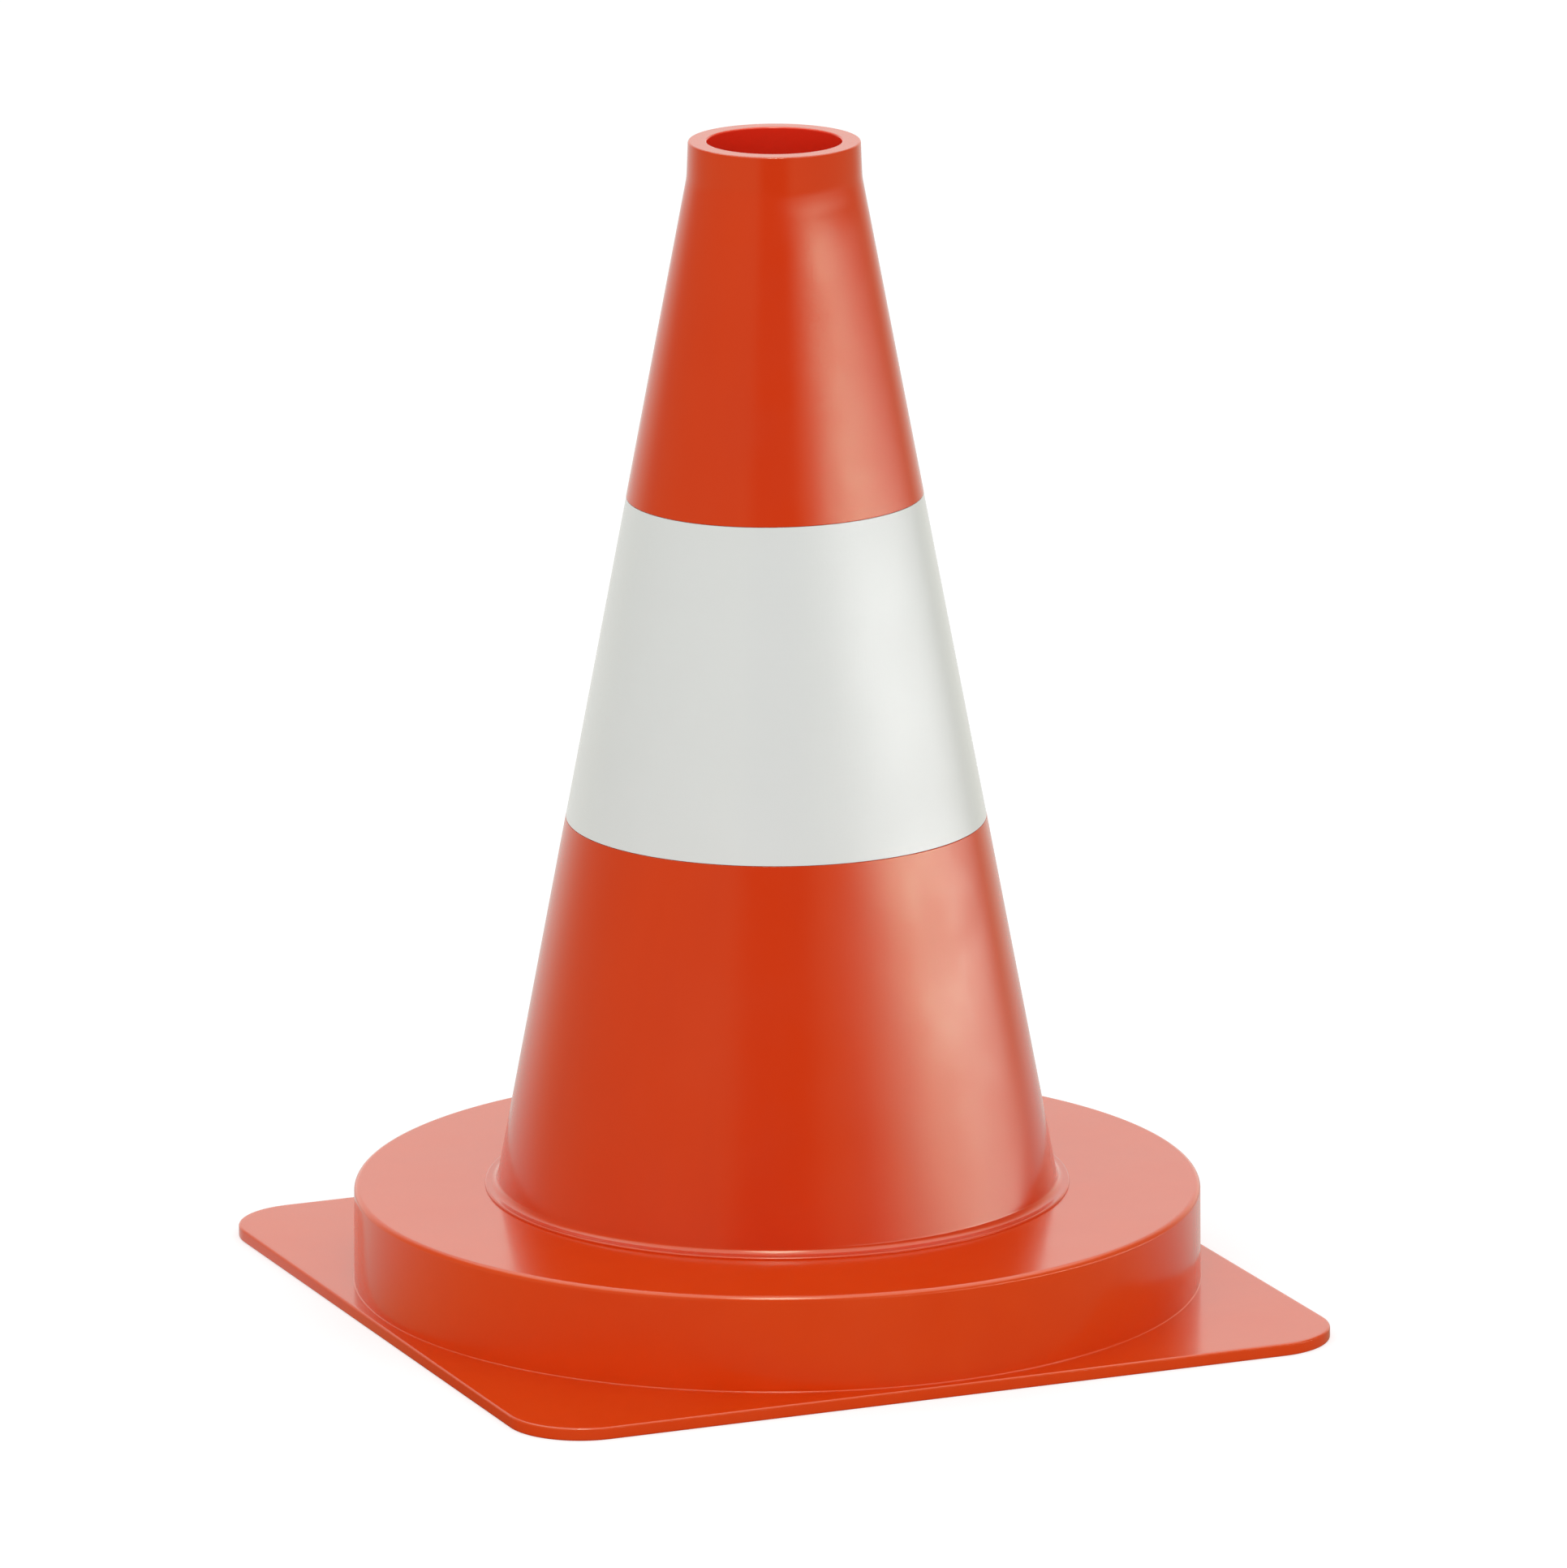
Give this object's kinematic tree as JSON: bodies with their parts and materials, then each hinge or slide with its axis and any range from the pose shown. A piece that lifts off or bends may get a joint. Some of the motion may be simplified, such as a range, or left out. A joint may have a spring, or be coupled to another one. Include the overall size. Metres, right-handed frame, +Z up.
{
  "type": "marker cone",
  "caption": "Small marker cone with a thick open collar, a white band, a round weighted drum and a thin square flange; open through its middle, so it stacks.",
  "frame": {"origin": "middle of the square flange, on the surface that the cone stands on", "axes": "+Z up along the cone's axis, X and Y along the sides of the square flange"},
  "size_m": [0.238, 0.238, 0.32],
  "materials": {
    "cone_plastic": "glossy orange-red moulded plastic, smooth, with faint flow marks",
    "base_plastic": "glossy orange-red moulded plastic, smooth",
    "white_film": "satin white film with a fine embossed texture",
    "ballast_compound": "coarse recycled compound, matt dark grey",
    "cover_plastic": "matt orange-red moulded plastic"
  },
  "bodies": {
    "root": {"cone_body": "cone_plastic", "reflective_sleeve": "white_film", "base_shell": "base_plastic", "ballast_ring": "ballast_compound", "base_cover": "cover_plastic"}
  },
  "joints": []
}
